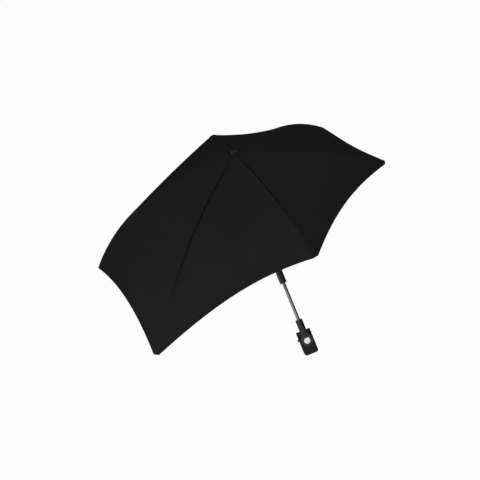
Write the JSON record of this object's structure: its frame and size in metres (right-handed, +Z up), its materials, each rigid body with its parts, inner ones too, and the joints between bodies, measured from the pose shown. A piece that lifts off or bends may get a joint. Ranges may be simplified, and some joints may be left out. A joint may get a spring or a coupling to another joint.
{
  "type": "pram parasol",
  "caption": "Pram parasol: asymmetric black cloth canopy on folding ribs, slim steel pole with a tilting knee, and a swivelling clip that closes round a pushchair tube.",
  "frame": {"origin": "centre of the clip's tube seat, half way up the clip", "axes": "+Z up along the tube seat and the lower pole, -Y towards the face with the silver button, over which the knee is bent; the long front of the canopy points towards -X; the seat's tube leaves downwards, along -Z"},
  "size_m": [0.6367, 0.5487, 0.5712],
  "materials": {
    "canopy_cloth": "black closely woven polyester sunshade cloth",
    "black_plastic": "black moulded plastic, fine satin",
    "pole_steel": "bright plated steel tube",
    "silver_disc": "satin silver button face, left plain",
    "steel_pins": "plain steel",
    "rib_rod": "black coated rod",
    "pad_rubber": "soft black rubber"
  },
  "bodies": {
    "clamp": {"clamp_body": "black_plastic", "body_pad": "pad_rubber", "jaw_pin": "steel_pins", "swivel_pin": "steel_pins", "swivel_ring": "steel_pins"},
    "jaw": {"clamp_jaw": "black_plastic", "jaw_pad": "pad_rubber"},
    "socket": {"socket_arm": "black_plastic", "lower_pole": "pole_steel", "tilt_lower": "black_plastic"},
    "swivel_button_body": {"swivel_button": "silver_disc"},
    "mast": {"tilt_upper": "black_plastic", "tilt_pin": "steel_pins", "upper_pole": "pole_steel", "crown": "black_plastic", "crown_wire": "steel_pins", "finial": "black_plastic"},
    "tilt_button_body": {"tilt_button": "black_plastic"},
    "runner_body": {"runner": "black_plastic"},
    "runner_button_body": {"runner_button": "black_plastic"},
    "rib_1_body": {"rib_1": "rib_rod", "rib_cap_1": "black_plastic", "rib_joint_1": "black_plastic", "joint_rivet_1": "steel_pins", "canopy_sector_1": "canopy_cloth"},
    "stretcher_1_body": {"stretcher_1": "rib_rod"},
    "rib_2_body": {"rib_2": "rib_rod", "rib_cap_2": "black_plastic", "rib_joint_2": "black_plastic", "joint_rivet_2": "steel_pins", "canopy_sector_2": "canopy_cloth"},
    "stretcher_2_body": {"stretcher_2": "rib_rod"},
    "rib_3_body": {"rib_3": "rib_rod", "rib_cap_3": "black_plastic", "rib_joint_3": "black_plastic", "joint_rivet_3": "steel_pins", "canopy_sector_3": "canopy_cloth"},
    "stretcher_3_body": {"stretcher_3": "rib_rod"},
    "rib_4_body": {"rib_4": "rib_rod", "rib_cap_4": "black_plastic", "rib_joint_4": "black_plastic", "joint_rivet_4": "steel_pins", "canopy_sector_4": "canopy_cloth"},
    "stretcher_4_body": {"stretcher_4": "rib_rod"},
    "rib_5_body": {"rib_5": "rib_rod", "rib_cap_5": "black_plastic", "rib_joint_5": "black_plastic", "joint_rivet_5": "steel_pins", "canopy_sector_5": "canopy_cloth"},
    "stretcher_5_body": {"stretcher_5": "rib_rod"},
    "rib_6_body": {"rib_6": "rib_rod", "rib_cap_6": "black_plastic", "rib_joint_6": "black_plastic", "joint_rivet_6": "steel_pins", "canopy_sector_6": "canopy_cloth"},
    "stretcher_6_body": {"stretcher_6": "rib_rod"}
  },
  "joints": [
    {"name": "jaw_open", "type": "hinge", "parent": "clamp", "child": "jaw", "pos_m": [0.0138, 0, 0], "axis": [0, 0, -1], "range_deg": [0, 80]},
    {"name": "pole_swivel", "type": "hinge", "parent": "clamp", "child": "socket", "pos_m": [0, -0.024, 0], "axis": [0, 1, 0], "range_deg": [-90, 90]},
    {"name": "swivel_press", "type": "slide", "parent": "socket", "child": "swivel_button_body", "axis": [0, 1, 0], "range_m": [0, 0.0015], "stiffness_N_per_m": 400},
    {"name": "pole_tilt", "type": "hinge", "parent": "socket", "child": "mast", "pos_m": [0, -0.024, 0.1728], "axis": [1, 0, 0], "range_deg": [-99.5, 20.5]},
    {"name": "tilt_press", "type": "slide", "parent": "mast", "child": "tilt_button_body", "axis": [-1, 0, 0], "range_m": [0, 0.001], "stiffness_N_per_m": 400},
    {"name": "runner_slide", "type": "slide", "parent": "mast", "child": "runner_body", "axis": [0, 0.6361, -0.7716], "range_m": [0, 0.19577]},
    {"name": "runner_press", "type": "slide", "parent": "runner_body", "child": "runner_button_body", "axis": [0.9673, 0.1958, 0.1614], "range_m": [0, 0.001], "stiffness_N_per_m": 400},
    {"name": "rib_1_fold", "type": "hinge", "parent": "mast", "child": "rib_1_body", "pos_m": [-0.00851, -0.20621, 0.39842], "axis": [-0.3239, -0.73, -0.6018], "range_deg": [0, 63], "deforming": ["canopy_sector_1"]},
    {"name": "stretcher_1_swing", "type": "hinge", "parent": "rib_1_body", "child": "stretcher_1_body", "pos_m": [-0.12864, -0.15672, 0.40304], "axis": [-0.3239, -0.73, -0.6018], "range_deg": [-126, 0]},
    {"name": "rib_2_fold", "type": "hinge", "parent": "mast", "child": "rib_2_body", "pos_m": [-0.00599, -0.21365, 0.3923], "axis": [0.7466, -0.5133, -0.4231], "range_deg": [0, 63], "deforming": ["canopy_sector_2"]},
    {"name": "stretcher_2_swing", "type": "hinge", "parent": "rib_2_body", "child": "stretcher_2_body", "pos_m": [-0.09045, -0.26904, 0.31046], "axis": [0.7466, -0.5133, -0.4231], "range_deg": [-126, 0]},
    {"name": "rib_3_fold", "type": "hinge", "parent": "mast", "child": "rib_3_body", "pos_m": [0.00189, -0.21525, 0.39097], "axis": [0.9778, 0.1617, 0.1333], "range_deg": [0, 63], "deforming": ["canopy_sector_3"]},
    {"name": "stretcher_3_swing", "type": "hinge", "parent": "rib_3_body", "child": "stretcher_3_body", "pos_m": [0.0285, -0.29329, 0.29047], "axis": [0.9778, 0.1617, 0.1333], "range_deg": [-126, 0]},
    {"name": "rib_4_fold", "type": "hinge", "parent": "mast", "child": "rib_4_body", "pos_m": [0.00851, -0.21071, 0.39472], "axis": [0.3239, 0.73, 0.6018], "range_deg": [0, 63], "deforming": ["canopy_sector_4"]},
    {"name": "stretcher_4_swing", "type": "hinge", "parent": "rib_4_body", "child": "stretcher_4_body", "pos_m": [0.12864, -0.22469, 0.34702], "axis": [0.3239, 0.73, 0.6018], "range_deg": [-126, 0]},
    {"name": "rib_5_fold", "type": "hinge", "parent": "mast", "child": "rib_5_body", "pos_m": [0.00688, -0.20399, 0.40026], "axis": [-0.6441, 0.5902, 0.4865], "range_deg": [0, 63], "deforming": ["canopy_sector_5"]},
    {"name": "stretcher_5_swing", "type": "hinge", "parent": "rib_5_body", "child": "stretcher_5_body", "pos_m": [0.104, -0.12313, 0.43074], "axis": [-0.6441, 0.5902, 0.4865], "range_deg": [-126, 0]},
    {"name": "rib_6_fold", "type": "hinge", "parent": "mast", "child": "rib_6_body", "pos_m": [-0.00061, -0.20153, 0.40228], "axis": [-0.9977, -0.0525, -0.0433], "range_deg": [0, 63], "deforming": ["canopy_sector_6"]},
    {"name": "stretcher_6_swing", "type": "hinge", "parent": "rib_6_body", "child": "stretcher_6_body", "pos_m": [-0.00925, -0.08603, 0.46132], "axis": [-0.9977, -0.0525, -0.0433], "range_deg": [-126, 0]}
  ],
  "couplings": [
    {"joint": "stretcher_1_swing", "follows": "rib_1_fold", "ratio": -2},
    {"joint": "rib_2_fold", "follows": "rib_1_fold", "ratio": 1},
    {"joint": "stretcher_2_swing", "follows": "rib_1_fold", "ratio": -2},
    {"joint": "rib_3_fold", "follows": "rib_1_fold", "ratio": 1},
    {"joint": "stretcher_3_swing", "follows": "rib_1_fold", "ratio": -2},
    {"joint": "rib_4_fold", "follows": "rib_1_fold", "ratio": 1},
    {"joint": "stretcher_4_swing", "follows": "rib_1_fold", "ratio": -2},
    {"joint": "rib_5_fold", "follows": "rib_1_fold", "ratio": 1},
    {"joint": "stretcher_5_swing", "follows": "rib_1_fold", "ratio": -2},
    {"joint": "rib_6_fold", "follows": "rib_1_fold", "ratio": 1},
    {"joint": "stretcher_6_swing", "follows": "rib_1_fold", "ratio": -2},
    {"joint": "runner_slide", "follows": "rib_1_fold", "m_per_rad": 0.17805}
  ]
}
